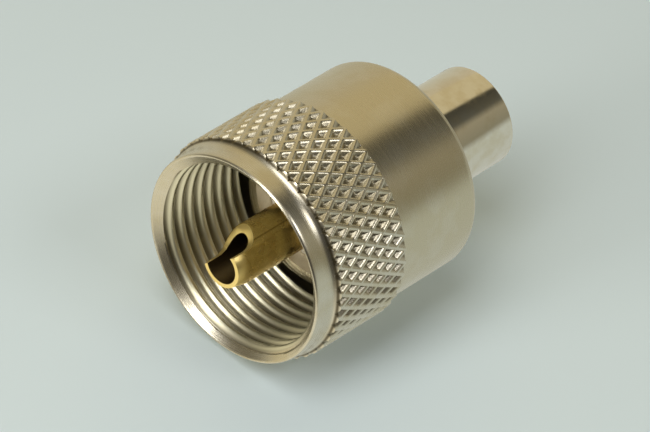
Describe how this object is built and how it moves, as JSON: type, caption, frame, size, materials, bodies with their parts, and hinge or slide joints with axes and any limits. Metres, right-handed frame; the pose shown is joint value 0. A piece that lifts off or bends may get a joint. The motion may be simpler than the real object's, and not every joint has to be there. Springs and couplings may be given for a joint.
{
  "type": "uhf connector",
  "caption": "Threaded coaxial cable plug: a knurled captive coupling nut turns round a hollow brass centre pin, with a plain polished cable barrel behind.",
  "frame": {"origin": "centre of the flat cable end face, on which the plug stands", "axes": "+Z along the plug's axis, from the cable end to the mouth and the centre pin's tip; the pin's solder notch faces 20 degrees from +X towards -Y"},
  "size_m": [0.018, 0.018, 0.0278],
  "materials": {
    "nut_nickel": "satin nickel plate, turned and knurled",
    "body_nickel": "satin nickel plate",
    "barrel_nickel": "polished nickel plate",
    "insulator_plastic": "ivory moulded plastic, matt",
    "pin_brass": "bare turned brass, slightly tarnished"
  },
  "bodies": {
    "plug_body": {"body": "body_nickel", "rear_barrel": "barrel_nickel", "insulator": "insulator_plastic", "centre_pin": "pin_brass"},
    "coupling_nut": {"coupling_nut": "nut_nickel"}
  },
  "joints": [
    {"name": "nut_spin", "type": "hinge", "parent": "plug_body", "child": "coupling_nut", "pos_m": [0, 0, 0.01005], "axis": [0, 0, 1], "continuous": true}
  ]
}
